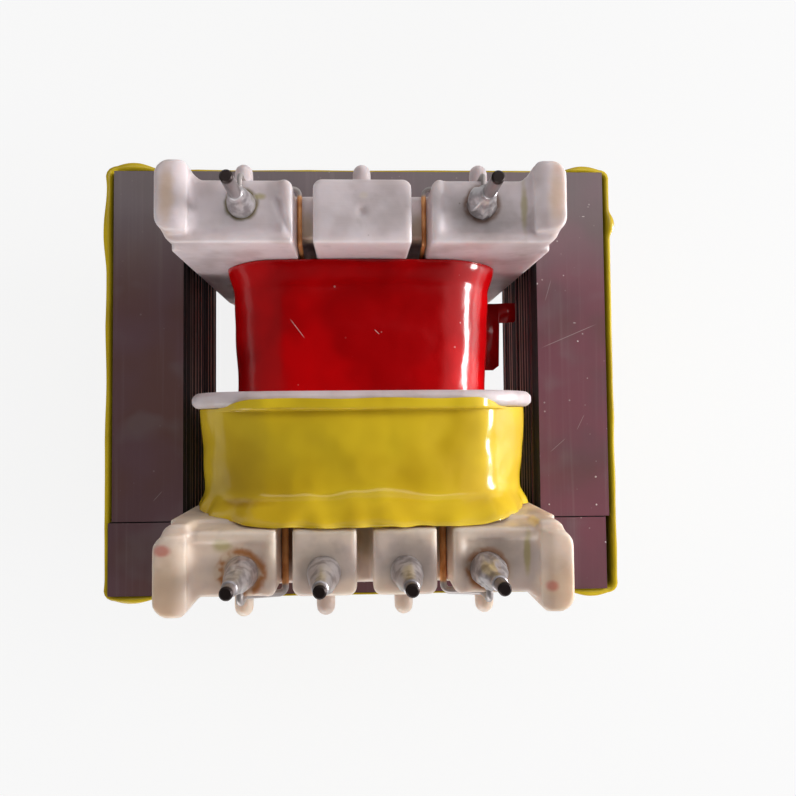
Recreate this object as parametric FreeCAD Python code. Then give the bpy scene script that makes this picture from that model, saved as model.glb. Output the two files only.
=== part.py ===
import FreeCAD, Part
import math
import os

# Small mains transformer for a circuit board, lying on its back with its pins up.
# A stack of E and I sheets goes through and round a moulded nylon bobbin with two winding
# spaces. The primary is wrapped in red tape and the secondary in yellow tape, two pins carry
# the primary's ends and four belong to the secondary's row, and one band of yellow tape holds
# the core together.
#
# Frame, in millimetres: +Z is up, the way the pins point, +X is to the right with the pins
# towards the reader, and +Y points to the row of two pins. The origin is below the middle of
# the core, on the surface that the bobbin's flanges stand on.

# Core sheets
core_width = 41.0          # along X
e_length = 29.0            # an E sheet, from its yoke's edge to the ends of its legs
e_yoke = 6.0               # depth of the E's yoke
i_width = 5.9              # depth of an I sheet
butt_gap = 0.1             # between the ends of the legs and the I sheet
centre_leg = 13.0
outer_leg = 5.75
sheet_pitch = 0.5          # one sheet and its film of oxide
film = 0.02                # the film alone
sheet_count = 26
bundle_count = 3           # sheets laid the same way before the next ones are turned over
i_offset = 0.3             # the I sheets sit this far to the left of the E sheets
bundle_slack = 0.04        # how far a bundle may sit off its neighbours

# Tape band round the core
band_thickness = 0.3       # several turns
band_clearance = 0.06      # to the widest sheet
band_edge_gap = 0.3        # core left bare along both faces
band_corner = 0.15         # radius inside the band, where it turns round the core's corners

# Bobbin
tube_clearance = 0.15      # to the centre leg, each side
tube_wall = 0.8
flange_core_gap = 0.95     # from the flanges' sides to the core's outer legs
flange_thickness = 1.2
flange_overhang = 7.2      # beyond both faces of the core
flange_corner_back = 5.5
flange_corner_front = 7.0
flange_bevel = 0.35        # round the middle flange's rim
primary_wall = 1.7         # thickness of the primary's end flange, which carries the row of two pins
primary_space = 10.15      # along Y, between its flanges; the secondary has the rest
bobbin_play = 0.85         # the bobbin is this much shorter than the core's window
bobbin_seat = 0.025        # the part of that play below the secondary's end flange

# Terminal rows of the bobbin
bar_core_gap = 0.3         # from the core's face to the underside of a row
slot_floor = 5.8           # height of the wire slots' floor above the core's face
block_face = 9.5           # height of the blocks' faces above the core's face
block_inset = 1.75         # from the flanges' sides to the ends of the blocks
ear_width = 2.15           # from the ends of the blocks to the ears' outer sides
ear_extra_height = 0.75
ear_reach = 1.1            # along Y, beyond the blocks
ear_overlap = 0.1          # an ear runs this far into the block beside it
primary_ear_start = 0.6    # from a row's ridge to its ears
secondary_ear_start = 0.1
ear_round = 1.1            # upright edges on an ear's outer side
ear_inner_round = 0.5      # and on its inner side
web_reach = 0.8            # the web beside an ear covers this much of the block's outer side
cheek_round = 0.9          # upright corner where the flange meets an ear
row_depth = 4.5            # from a row's ridge to its outer side
secondary_setback = 0.5    # the secondary row's ridge stands back from its winding space
lean_from = 4.4            # height above the core's face where it begins to lean back
primary_slot = 1.4         # slot widths
secondary_slot = 1.1
notch_floor = 3.2          # the primary's slots go on down to here, above the core's face
notch_depth = 1.25         # and this far into the flange
primary_block = 6.9        # width of the middle block in the row of two pins
secondary_block = 4.4      # width of each inner block in the row of four pins
block_round = 0.6          # upright corners of a block
face_round = 0.25          # edges of a block's face
dish_depth = 0.35          # hollow in the face of each outer block
dish_rim = 0.6
dish_slope = 0.35
mark_radius = 0.4          # round ejector mark on the middle block
mark_depth = 0.15
peg_radius = 0.68          # wire pegs on the outer sides
peg_length = 2.1
peg_height = 6.4           # above the core's face
peg_outset = 0.25          # the outer pegs stand this far outside their pins

# Windings and their tape
winding_clearance = 0.05   # to the tube, the flanges and the tape
primary_leg_gap = 4.25     # from the red tape to the core's outer legs, at its widest
primary_rim = 3.2          # the flanges stand out this far past it, front and back
primary_taper = 0.35       # each side is this much lower beside the middle flange
secondary_leg_gap = 2.0    # the same sizes for the yellow tape, which is lower at its far end
secondary_rim = 0.65
secondary_taper = 0.45
secondary_cuff = 0.65      # the yellow tape turns out this far against its end flange
cuff_width = 1.2
tape_thickness = 0.28
coil_corner = 6.2
flag_core_gap = 0.965      # from the loose end of the red tape to the core's outer leg
flag_width = 1.8
flag_thickness = 0.16
flag_lift = 1.6            # the cut end of the tape stands off the coil this far
flag_below_face = 4.0      # below the core's front face
flag_from_flange = 2.2     # from the end flange to the flag's upper edge
lift_width = 4.1           # length of the lifted edge below the flag

# Pins, their solder and the leads
pin_pitch = 5.62           # between neighbours in the row of four
primary_pin_place = 1.73   # from the outer side of a row's blocks to its pins
secondary_pin_place = 1.62
pin_radius = 0.43
root_radius = 0.6          # of the thicker part that is pressed into the block and soldered
root_above = 0.2           # it stands this far out of the solder
pin_height = 14.6          # tips above the core's face
pin_bury = 5.5             # length inside the block
pin_chamfer = 0.1
pin_fit = 0.01
collar_radius = 0.95       # solder fillet at the foot of a pin
collar_height = 1.15
collar_top = 0.1           # solder left on the pin at the fillet's top
primary_wire = 0.36        # diameters
secondary_wire = 0.5
wire_gap = 0.04            # between a lead and what it lies on
wire_bend = 0.45           # bend radius on a lead's centre line

cut_past = 1.0             # how far a cut runs past the faces that it goes through

# Heights from the resting surface
stack = sheet_count * sheet_pitch
core_back = flange_overhang
core_front = core_back + stack
coil_mid = core_back + stack / 2
flange_depth = stack + 2 * flange_overhang

# Lengths along Y
core_length = e_length + butt_gap + i_width
core_top = core_length / 2
window_top = core_top - max(e_yoke, i_width)
bobbin_bottom = bobbin_seat - window_top
bobbin_top = window_top - (bobbin_play - bobbin_seat)
primary_high = bobbin_top - primary_wall
primary_low = primary_high - primary_space
secondary_high = primary_low - flange_thickness
secondary_low = bobbin_bottom + flange_thickness

# Lengths along X
window_half = core_width / 2 - outer_leg
flange_half = window_half - flange_core_gap
block_half_span = flange_half - block_inset
ear_half_span = block_half_span + ear_width

# Tube and terminal rows
tube_inner = centre_leg / 2 + tube_clearance
tube_inner_z = stack / 2 + tube_clearance
tube_outer = tube_inner + tube_wall
tube_outer_z = tube_inner_z + tube_wall
primary_outer = primary_high + row_depth
secondary_ridge = secondary_low - secondary_setback
secondary_outer = secondary_ridge - row_depth
face_z = core_front + block_face
floor_z = core_front + slot_floor
bar_z = core_front + bar_core_gap
dish_z = face_z - dish_depth
ear_z = face_z + ear_extra_height
primary_pin_y = primary_outer - primary_pin_place
secondary_pin_y = secondary_outer + secondary_pin_place
outer_pin_x = 1.5 * pin_pitch
inner_pin_x = 0.5 * pin_pitch
outer_peg_x = outer_pin_x + peg_outset
pin_foot = dish_z - pin_bury
pin_tip = core_front + pin_height

# Blocks of each row from left to right, as the places of their sides along X
primary_inner = primary_block / 2
secondary_inner = secondary_slot / 2
secondary_middle = secondary_inner + secondary_block
primary_blocks = [(-block_half_span, -primary_inner - primary_slot),
                  (-primary_inner, primary_inner),
                  (primary_inner + primary_slot, block_half_span)]
secondary_blocks = [(-block_half_span, -secondary_middle - secondary_slot),
                    (-secondary_middle, -secondary_inner), (secondary_inner, secondary_middle),
                    (secondary_middle + secondary_slot, block_half_span)]

# Pins with the height of the face that each one's solder stands on
pin_names = ["primary_left", "primary_right", "secondary_left", "secondary_inner_left",
             "secondary_inner_right", "secondary_right"]
pins = [(-outer_pin_x, primary_pin_y, dish_z), (outer_pin_x, primary_pin_y, dish_z),
        (-outer_pin_x, secondary_pin_y, dish_z), (-inner_pin_x, secondary_pin_y, face_z),
        (inner_pin_x, secondary_pin_y, face_z), (outer_pin_x, secondary_pin_y, dish_z)]


def box(x0, x1, y0, y1, z0, z1):
    """A block from its low and high corners."""
    low = FreeCAD.Vector(min(x0, x1), min(y0, y1), min(z0, z1))
    return Part.makeBox(abs(x1 - x0), abs(y1 - y0), abs(z1 - z0), low)


def prism(points, direction):
    """A straight-sided solid on a closed outline."""
    corners = [FreeCAD.Vector(*p) for p in points]
    outline = Part.makePolygon(corners + corners[:1])
    return Part.Face(outline).extrude(FreeCAD.Vector(*direction))


def soften(shape, radius, chosen):
    """Rounds the edges of a shape that the test picks by their middle and direction."""
    edges = []
    for edge in shape.Edges:
        if not isinstance(edge.Curve, Part.Line):
            continue
        middle = edge.valueAt((edge.FirstParameter + edge.LastParameter) / 2)
        if chosen(middle, edge.Curve.Direction):
            edges.append(edge)
    return shape.makeFillet(radius, edges) if edges and radius > 0 else shape


def rounded_outline(half_x, low_z, high_z, low_radius, high_radius, y):
    """A closed outline across Y with one radius for its low corners and one for its high ones."""
    rl = min(low_radius, 0.98 * half_x, 0.49 * (high_z - low_z))
    rh = min(high_radius, 0.98 * half_x, 0.49 * (high_z - low_z))
    turn = math.sin(math.pi / 4)

    def at(x, z):
        return FreeCAD.Vector(x, y, z)

    def bend(x, z, radius, way_x, way_z):
        start = at(x + way_x * radius, z) if way_x * way_z > 0 else at(x, z + way_z * radius)
        end = at(x, z + way_z * radius) if way_x * way_z > 0 else at(x + way_x * radius, z)
        centre_x = x + way_x * radius
        centre_z = z + way_z * radius
        middle = at(centre_x - way_x * radius * turn, centre_z - way_z * radius * turn)
        return Part.Arc(start, middle, end).toShape(), start, end

    bends = [bend(half_x, high_z, rh, -1, -1), bend(half_x, low_z, rl, -1, 1),
             bend(-half_x, low_z, rl, 1, 1), bend(-half_x, high_z, rh, 1, -1)]
    edges = []
    for index, (arc, start, end) in enumerate(bends):
        following = bends[(index + 1) % len(bends)][1]
        edges.append(arc)
        edges.append(Part.LineSegment(end, following).toShape())
    return Part.Wire(edges)


def coil_outline(leg_gap, rim, y, inset=0.0):
    """The outline of a coil at one place along Y, its corners clear of the tube's corners."""
    half_x = window_half - leg_gap
    half_z = flange_depth / 2 - rim
    build = min(half_x - tube_outer, half_z - tube_outer_z)
    room = (build - tape_thickness - 2 * winding_clearance) / (1 - math.sin(math.pi / 4))
    corner = max(min(coil_corner, room) - inset, face_round)
    return rounded_outline(half_x - inset, coil_mid - half_z + inset, coil_mid + half_z - inset,
                           corner, corner, y)


def save(name, solids):
    """Writes one piece, or several alike, as one file."""
    group = solids if isinstance(solids, list) else [solids]
    shape = group[0] if len(group) == 1 else Part.makeCompound(group)
    shape.exportStep("parts/" + name + ".step")
    print(name, len(shape.Solids), "solid", round(shape.Volume, 2), "mm3", shape.isValid())


# Core

def e_sheet(z, slack, way):
    """One E sheet, its yoke at the end of Y that way points to."""
    half = core_width / 2
    yoke_edge = core_top - e_yoke
    leg_end = core_top - e_length
    outline = [(-half, core_top), (half, core_top), (half, leg_end), (window_half, leg_end),
               (window_half, yoke_edge), (centre_leg / 2, yoke_edge), (centre_leg / 2, leg_end),
               (-centre_leg / 2, leg_end), (-centre_leg / 2, yoke_edge), (-window_half, yoke_edge),
               (-window_half, leg_end), (-half, leg_end)]
    points = [(x + slack, way * y, z) for x, y in outline]
    return prism(points, (0, 0, sheet_pitch - film))


def i_sheet(z, slack, way):
    """One I sheet, across the ends of the legs of the E sheet beside it."""
    half = core_width / 2
    x = slack - i_offset
    return box(x - half, x + half, -way * core_top, -way * (core_top - i_width),
               z, z + sheet_pitch - film)


def save_core():
    """Bundles of sheets from back to front, every second one turned over."""
    bundles = math.ceil(sheet_count / bundle_count)
    for bundle in range(bundles):
        first = bundle * bundle_count
        sheets = range(first, min(first + bundle_count, sheet_count))
        slack = bundle_slack * ((2 * bundle) % 3 - 1)
        way = 1 if (bundles - 1 - bundle) % 2 == 0 else -1
        heights = [core_back + film / 2 + sheet * sheet_pitch for sheet in sheets]
        number = str(bundle + 1)
        save("e_sheets_" + number, [e_sheet(z, slack, way) for z in heights])
        save("i_sheets_" + number, [i_sheet(z, slack, way) for z in heights])


def core_band():
    """Tape stretched round the four sides of the core."""
    inner_x = core_width / 2 + i_offset + bundle_slack + band_clearance
    inner_y = core_top + band_clearance
    z0 = core_back + band_edge_gap
    z1 = core_front - band_edge_gap

    def ring(grow):
        body = box(-inner_x - grow, inner_x + grow, -inner_y - grow, inner_y + grow, z0, z1)
        return soften(body, band_corner + grow, lambda middle, way: abs(way.z) > 0.9)

    return ring(band_thickness).cut(ring(0.0))


# Bobbin

def end_flange(y0, thickness):
    """The wall at one end of the tube, standing on its back edge."""
    outline = rounded_outline(flange_half, 0.0, flange_depth, flange_corner_back, face_round, y0)
    return Part.Face(outline).extrude(FreeCAD.Vector(0, thickness, 0))


def middle_flange():
    """The wall between the two windings, its rim bevelled on both sides."""
    places = [(secondary_high, flange_bevel), (secondary_high + flange_bevel, 0.0),
              (primary_low - flange_bevel, 0.0), (primary_low, flange_bevel)]
    outlines = [rounded_outline(flange_half - inset, inset, flange_depth - inset,
                                flange_corner_back - inset, flange_corner_front - inset, y)
                for y, inset in places]
    return Part.makeLoft(outlines, True, True)


def row_profile(x0, x1, wall, ridge, outer, top_z):
    """A length of a terminal row, upright outside and leaning from the wall to the ridge."""
    lean_z = core_front + lean_from
    share = (top_z - lean_z) / (face_z - lean_z)
    top_y = wall + (ridge - wall) * share
    section = [(x0, wall, bar_z), (x0, wall, lean_z), (x0, top_y, top_z), (x0, outer, top_z),
               (x0, outer, bar_z)]
    return prism(section, (x1 - x0, 0, 0))


def block(x0, x1, wall, ridge, outer):
    """A terminal block with rounded outer corners and softened face edges."""
    body = row_profile(x0, x1, wall, ridge, outer, face_z)
    body = soften(body, block_round, lambda m, way: abs(way.z) > 0.9 and abs(m.y - outer) < film)
    return soften(body, face_round, lambda m, way: m.z > face_z - film)


def dish(x0, x1, ridge, outer):
    """The hollow in an outer block's face, with sloping sides and open at its outer side."""
    side = 1 if outer > ridge else -1
    start = ridge + side * dish_rim
    end = outer + side * cut_past

    def outline(grow, z):
        corners = [FreeCAD.Vector(x0 - grow, start - side * grow, z),
                   FreeCAD.Vector(x1 + grow, start - side * grow, z),
                   FreeCAD.Vector(x1 + grow, end, z), FreeCAD.Vector(x0 - grow, end, z)]
        return Part.makePolygon(corners + corners[:1])

    return Part.makeLoft([outline(-dish_slope, dish_z), outline(dish_slope, 2 * face_z - dish_z)],
                         True, True)


def ear(side_x, wall, start, outer):
    """The raised wall at one end of a row, its web and the cheek of the flange beside it."""
    side_y = 1 if outer > start else -1
    inner_x = side_x * (block_half_span - ear_overlap)
    outer_x = side_x * ear_half_span
    end = outer + side_y * ear_reach
    body = box(inner_x, outer_x, start, end, bar_z, ear_z)
    body = soften(body, ear_round, lambda m, way: abs(way.z) > 0.9 and abs(m.x - outer_x) < film)
    body = soften(body, ear_inner_round,
                  lambda m, way: abs(way.z) > 0.9 and abs(m.x - inner_x) < film and abs(m.y - end) < film)
    body = soften(body, face_round, lambda m, way: m.z > ear_z - film)
    cheek = box(inner_x, side_x * flange_half, wall, wall + side_y * 2 * flange_thickness,
                bar_z, face_z)
    cheek = soften(cheek, cheek_round,
                   lambda m, way: abs(way.z) > 0.9 and abs(m.x) > block_half_span and abs(m.y - wall) < film)
    web_x = side_x * (block_half_span - web_reach)
    web_end = end - side_y * ear_inner_round
    ear_x = inner_x + side_x * ear_inner_round
    web = prism([(web_x, outer - side_y * block_round, bar_z), (web_x, outer, bar_z),
                 (inner_x, web_end, bar_z), (ear_x, web_end, bar_z),
                 (ear_x, outer - side_y * block_round, bar_z)],
                (0, 0, face_z - face_round - bar_z))
    return [body, cheek, web]


def peg(x, outer, side_y):
    """A round-ended peg on a row's outer side."""
    z = core_front + peg_height
    root = FreeCAD.Vector(x, outer - side_y * peg_radius, z)
    stem = Part.makeCylinder(peg_radius, peg_length, root, FreeCAD.Vector(0, side_y, 0))
    tip = Part.makeSphere(peg_radius, FreeCAD.Vector(x, root.y + side_y * peg_length, z))
    return [stem, tip]


def terminal_row(wall, ridge, outer, ear_start, blocks, pegs):
    """One row as a list of solids to be joined: floor, blocks, ears and pegs."""
    side_y = 1 if outer > ridge else -1
    pieces = [row_profile(-block_half_span, block_half_span, wall, ridge, outer, floor_z)]
    pieces += [block(x0, x1, wall, ridge, outer) for x0, x1 in blocks]
    start = ridge + side_y * ear_start
    pieces += ear(-1, wall, start, outer) + ear(1, wall, start, outer)
    for x in pegs:
        pieces += peg(x, outer, side_y)
    return pieces


def bobbin():
    """The one moulding: tube, three flanges and two terminal rows."""
    half_z = tube_outer_z
    body = box(-tube_outer, tube_outer, bobbin_bottom, bobbin_top, coil_mid - half_z, coil_mid + half_z)
    pieces = [end_flange(primary_high, primary_wall), middle_flange(),
              end_flange(bobbin_bottom, flange_thickness)]
    pieces += terminal_row(primary_high, primary_high, primary_outer, primary_ear_start,
                           primary_blocks, [-outer_peg_x, 0.0, outer_peg_x])
    pieces += terminal_row(secondary_low, secondary_ridge, secondary_outer, secondary_ear_start,
                           secondary_blocks, [-outer_peg_x, -inner_pin_x, inner_pin_x, outer_peg_x])
    body = body.fuse(pieces)

    leg = box(-tube_inner, tube_inner, bobbin_bottom - cut_past, bobbin_top + cut_past,
              coil_mid - tube_inner_z, coil_mid + tube_inner_z)
    cuts = [leg]
    for blocks, ridge, outer in ((primary_blocks, primary_high, primary_outer),
                                 (secondary_blocks, secondary_ridge, secondary_outer)):
        cuts.append(dish(blocks[0][0], blocks[0][1] - dish_rim, ridge, outer))
        cuts.append(dish(blocks[-1][0] + dish_rim, blocks[-1][1], ridge, outer))
    for x, y, _ in pins:
        cuts.append(Part.makeCylinder(root_radius + pin_fit, face_z - pin_foot + cut_past,
                                      FreeCAD.Vector(x, y, pin_foot - pin_fit)))
    for left, right in zip(primary_blocks, primary_blocks[1:]):
        cuts.append(box(left[1], right[0], primary_high - cut_past, bobbin_top + cut_past,
                        floor_z, face_z))
        cuts.append(box(left[1], right[0], primary_high - cut_past, primary_high + notch_depth,
                        core_front + notch_floor, floor_z + film))
    for left, right in zip(secondary_blocks, secondary_blocks[1:]):
        cuts.append(box(left[1], right[0], bobbin_bottom - cut_past, secondary_low + cut_past,
                        floor_z, face_z))
    mark = FreeCAD.Vector(0, (primary_high + primary_outer) / 2, face_z - mark_depth)
    cuts.append(Part.makeCylinder(mark_radius, cut_past, mark))
    return body.cut(cuts).removeSplitter()


# Windings and tape

def coil_hole(y0, y1):
    """What the tube and its clearance take out of a coil."""
    half_x = tube_outer + winding_clearance
    half_z = tube_outer_z + winding_clearance
    return box(-half_x, half_x, y0, y1, coil_mid - half_z, coil_mid + half_z)


def coil(stations, inset, end_gap):
    """A solid through the coil's outlines along Y, set in by an amount on every side."""
    low_y = stations[0][0]
    high_y = stations[-1][0]
    outlines = []
    for y, leg_gap, rim in stations:
        place = min(max(y, low_y + end_gap), high_y - end_gap)
        outlines.append(coil_outline(leg_gap, rim, place, inset))
    return Part.makeLoft(outlines, True, True)


def primary_stations():
    """Places along Y with the primary's gap to the core's legs and to the flanges' rims there."""
    return [(primary_low, primary_leg_gap + primary_taper, primary_rim + primary_taper),
            (primary_high, primary_leg_gap, primary_rim)]


def secondary_stations(cuff):
    """The same for the secondary, whose tape turns out against its end flange."""
    def lower(y, cuff_here):
        return secondary_taper * (secondary_high - y) / (secondary_high - secondary_low) - cuff_here

    places = [(secondary_low, cuff), (secondary_low + cuff_width, 0.0), (secondary_high, 0.0)]
    return [(y, secondary_leg_gap + lower(y, here), secondary_rim + lower(y, here))
            for y, here in places]


def winding(stations):
    """The turns of wire between the tube and the tape."""
    inset = tape_thickness + winding_clearance
    return coil(stations, inset, winding_clearance).cut(coil_hole(stations[0][0], stations[-1][0]))


def tape(stations):
    """The layers of tape on a coil."""
    outside = coil(stations, 0.0, winding_clearance)
    first, last = stations[0], stations[-1]
    inside = coil([(first[0] - cut_past, *first[1:])] + stations
                  + [(last[0] + cut_past, *last[1:])], tape_thickness, 0.0)
    return outside.cut(inside)


def primary_tape():
    """The red tape, with its cut end standing off the coil's right side."""
    side = window_half - primary_leg_gap - (primary_taper + tape_thickness) / 2
    end = window_half - flag_core_gap
    z = core_front - flag_below_face
    flag_top = primary_high - flag_from_flange
    flag_low = flag_top - flag_width
    flag = box(side, end, flag_low, flag_top, z, z + flag_thickness)
    lifted = box(side, side + flag_lift, flag_low - lift_width, flag_top, z, z + flag_thickness)
    return tape(primary_stations()).fuse([flag, lifted]).removeSplitter()


# Pins, solder and leads

def pin(x, y, seat_z):
    """One straight round pin, its thicker root in the block and under the solder."""
    root_top = seat_z + pin_fit + collar_height + root_above
    root = Part.makeCylinder(root_radius, root_top - pin_foot, FreeCAD.Vector(x, y, pin_foot))
    body = Part.makeCylinder(pin_radius, pin_tip - pin_foot, FreeCAD.Vector(x, y, pin_foot)).fuse(root)
    ends = [edge for edge in body.Edges
            if isinstance(edge.Curve, Part.Circle) and edge.Curve.Center.z in (pin_foot, pin_tip)]
    return body.makeChamfer(pin_chamfer, ends)


def collar(x, y, seat_z):
    """The solder that climbs a pin from the block's face."""
    inner = root_radius + pin_fit
    top = collar_height
    foot = FreeCAD.Vector(inner, 0, 0)
    rim = FreeCAD.Vector(collar_radius, 0, 0)
    edge = FreeCAD.Vector(collar_radius, 0, collar_top)
    waist = FreeCAD.Vector(inner + 0.62 * (collar_radius - inner), 0, 0.5 * top)
    upper = FreeCAD.Vector(inner + collar_top, 0, top)
    crown = FreeCAD.Vector(inner, 0, top)
    outline = Part.Wire([Part.LineSegment(foot, rim).toShape(), Part.LineSegment(rim, edge).toShape(),
                         Part.Arc(edge, waist, upper).toShape(),
                         Part.LineSegment(upper, crown).toShape(),
                         Part.LineSegment(crown, foot).toShape()])
    body = Part.Face(outline).revolve(FreeCAD.Vector(0, 0, 0), FreeCAD.Vector(0, 0, 1), 360)
    body = Part.Solid(body) if body.ShapeType != "Solid" else body
    body.translate(FreeCAD.Vector(x, y, seat_z + pin_fit))
    return body


def tube_along(points, radius, bend):
    """A round wire through the points, its corners bent to one radius where they have room."""
    spots = [FreeCAD.Vector(*p) for p in points]
    edges = []
    start = spots[0]
    for before, corner, after in zip(spots, spots[1:], spots[2:]):
        into = (corner - before).normalize()
        out = (after - corner).normalize()
        turn = into.getAngle(out)
        room = 0.45 * min(before.distanceToPoint(corner), corner.distanceToPoint(after))
        back = min(bend * math.tan(turn / 2), room)
        reach = back / math.tan(turn / 2)
        first = corner - into * back
        last = corner + out * back
        inward = (out - into).normalize()
        centre = corner + inward * math.hypot(reach, back)
        edges.append(Part.LineSegment(start, first).toShape())
        edges.append(Part.Arc(first, centre - inward * reach, last).toShape())
        start = last
    edges.append(Part.LineSegment(start, spots[-1]).toShape())
    path = Part.Wire(edges)
    along = (spots[1] - spots[0]).normalize()
    ring = Part.Wire([Part.Circle(spots[0], along, radius).toShape()])
    return path.makePipeShell([ring], True, False)


def primary_lead(side):
    """From the coil's edge through a wire slot, over a peg and up to the pin's solder."""
    radius = primary_wire / 2
    lie = radius + wire_gap
    x = side * (primary_block / 2 + primary_slot - lie)
    floor = floor_z + lie
    outside = primary_outer + lie
    peg_top = core_front + peg_height + peg_radius + radius + lie
    face = face_z + lie
    points = [(x, primary_high + lie, core_front + notch_floor + lie),
              (x, primary_high + notch_depth - wire_bend, floor),
              (x, outside + radius, floor), (side * outer_pin_x, outside, peg_top),
              (side * outer_pin_x, outside, face),
              (side * outer_pin_x, primary_pin_y + collar_radius + wire_gap, face)]
    return tube_along(points, radius, wire_bend)


def secondary_lead(side):
    """The same in the other row, where the slot's floor is level with the coil."""
    radius = secondary_wire / 2
    lie = radius + wire_gap
    x = side * (secondary_slot / 2 + secondary_block + secondary_slot - lie)
    floor = floor_z + lie
    outside = secondary_outer - lie
    peg_top = core_front + peg_height + peg_radius + radius + lie
    face = face_z + lie
    points = [(x, secondary_low - wire_gap, floor),
              (x, outside - radius, floor), (side * outer_pin_x, outside, peg_top),
              (side * outer_pin_x, outside, face),
              (side * outer_pin_x, secondary_pin_y - collar_radius - wire_gap, face)]
    return tube_along(points, radius, wire_bend)


if __name__ == "__main__":
    os.makedirs("parts", exist_ok=True)
    save_core()
    save("core_band", core_band())
    save("bobbin", bobbin())
    save("primary_winding", winding(primary_stations()))
    save("secondary_winding", winding(secondary_stations(0.0)))
    save("primary_tape", primary_tape())
    save("secondary_tape", tape(secondary_stations(secondary_cuff)))
    for name, (x, y, seat_z) in zip(pin_names, pins):
        save(name + "_pin", pin(x, y, seat_z))
        save(name + "_solder", collar(x, y, seat_z))
    for side, name in ((-1, "left"), (1, "right")):
        save("primary_lead_" + name, primary_lead(side))
        save("secondary_lead_" + name, secondary_lead(side))
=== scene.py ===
"""Looks of a small mains transformer for a circuit board, lying on its back with its pins up.

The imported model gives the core, the bobbin, the pins and the leads. This script gives each of
them its finish, winds tape with its wrinkles and laps over the two coils and round the core,
runs solder up the pins, and sets a camera, lamps and a white table round the part.
Lengths are in millimetres until they become mesh or shader values, and places are in the
part's own frame: +Z up towards the pins, +X right, +Y towards the row of two pins.
"""

import logging
import math
from dataclasses import dataclass
from enum import Enum

import bpy
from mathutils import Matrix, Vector, noise


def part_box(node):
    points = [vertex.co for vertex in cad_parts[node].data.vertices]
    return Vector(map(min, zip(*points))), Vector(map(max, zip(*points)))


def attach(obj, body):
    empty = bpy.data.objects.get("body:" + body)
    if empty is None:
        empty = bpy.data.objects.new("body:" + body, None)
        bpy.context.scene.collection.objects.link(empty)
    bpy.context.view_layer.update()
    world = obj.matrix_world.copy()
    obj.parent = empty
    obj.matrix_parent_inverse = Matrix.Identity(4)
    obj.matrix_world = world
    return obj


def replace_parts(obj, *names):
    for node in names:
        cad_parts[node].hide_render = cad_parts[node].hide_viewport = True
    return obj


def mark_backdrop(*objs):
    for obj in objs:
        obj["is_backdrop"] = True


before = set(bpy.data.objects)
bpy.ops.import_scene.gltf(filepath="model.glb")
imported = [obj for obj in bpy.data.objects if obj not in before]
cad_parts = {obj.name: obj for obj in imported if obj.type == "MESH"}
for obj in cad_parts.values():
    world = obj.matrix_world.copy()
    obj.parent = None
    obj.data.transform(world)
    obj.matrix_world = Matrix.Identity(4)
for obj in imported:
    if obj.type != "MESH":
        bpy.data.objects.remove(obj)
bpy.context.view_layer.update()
MM = 0.001
PINS = ("primary_left", "primary_right", "secondary_left", "secondary_inner_left",
        "secondary_inner_right", "secondary_right")
log = logging.getLogger("scene")


def box_mm(node: str) -> tuple[Vector, Vector]:
    """Returns the lowest and highest corner of a CAD node, in millimetres."""
    low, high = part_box(node)
    return low / MM, high / MM


CORE_BACK = box_mm("e_sheets_1")[0].z
CORE_FACE = box_mm("e_sheets_9")[1].z
BLOCK_FACE = CORE_FACE + 9.5


def linear(code: str) -> tuple[float, float, float, float]:
    """Turns an sRGB hex colour into the linear colour that a shader takes.

    Args:
        code: the colour, such as "#c8a214".

    Returns:
        Linear red, green and blue, and an alpha of 1.
    """
    channels = [int(code[place:place + 2], 16) / 255 for place in (1, 3, 5)]
    bright = [((c + 0.055) / 1.055) ** 2.4 if c > 0.04045 else c / 12.92 for c in channels]
    return (*bright, 1.0)


def per_mm(size: float) -> float:
    """Returns the texture scale at which one feature of a pattern is that many millimetres wide."""
    return 1 / (size * MM)


def ease(value: float, low: float, high: float) -> float:
    """Returns a smooth step of value, 0 at low and 1 at high."""
    share = min(max((value - low) / (high - low), 0.0), 1.0)
    return share * share * (3 - 2 * share)


def ripple(x: float, y: float, seed: float) -> float:
    """Returns smooth noise between about -1 and 1 at a place on a sheet."""
    return noise.noise(Vector((x, y, seed * 7.31)))


def walk_round(half_a: float, half_b: float, corner: float, steps: int) -> list[tuple[Vector, Vector]]:
    """Walks once round a rectangle with rounded corners, anticlockwise from the middle of its first side.

    Args:
        half_a: half its width.
        half_b: half its height.
        corner: radius of its corners.
        steps: how many places to return.

    Returns:
        Evenly spaced places, each with its outward direction.
    """
    arc = corner * math.pi / 2
    places = []
    for step in range(steps):
        rest = step / steps * (4 * (half_a + half_b - 2 * corner) + 4 * arc) + half_b - corner
        side, out = 0, Vector((1.0, 0.0))
        wall, half = half_a, half_b - corner
        while rest > 2 * half + arc:
            rest -= 2 * half + arc
            side, out = side + 1, Vector((-out.y, out.x))
            wall, half = (half_a, half_b - corner) if side % 2 == 0 else (half_b, half_a - corner)
        along = Vector((-out.y, out.x))
        if rest <= 2 * half:
            places.append((out * wall + along * (rest - half), out))
            continue
        turn = (rest - 2 * half) / corner
        away = out * math.cos(turn) + along * math.sin(turn)
        places.append((out * (wall - corner) + along * half + away * corner, away))
    return places


def add_node(tree: bpy.types.NodeTree, kind: str, inputs: dict | None = None,
             **settings: object) -> bpy.types.Node:
    """Adds one shader node with its settings, its input values and its links.

    Args:
        tree: the node tree that it goes into.
        kind: the node's type name, without the leading ShaderNode.
        inputs: for each input, by name or number, a value or the output socket to link to it.
        **settings: the node's own properties.

    Returns:
        The new node.
    """
    made = tree.nodes.new("ShaderNode" + kind)
    for name, value in settings.items():
        setattr(made, name, value)
    for key, value in (inputs or {}).items():
        if isinstance(value, bpy.types.NodeSocket):
            tree.links.new(value, made.inputs[key])
        else:
            made.inputs[key].default_value = value
    return made


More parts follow.
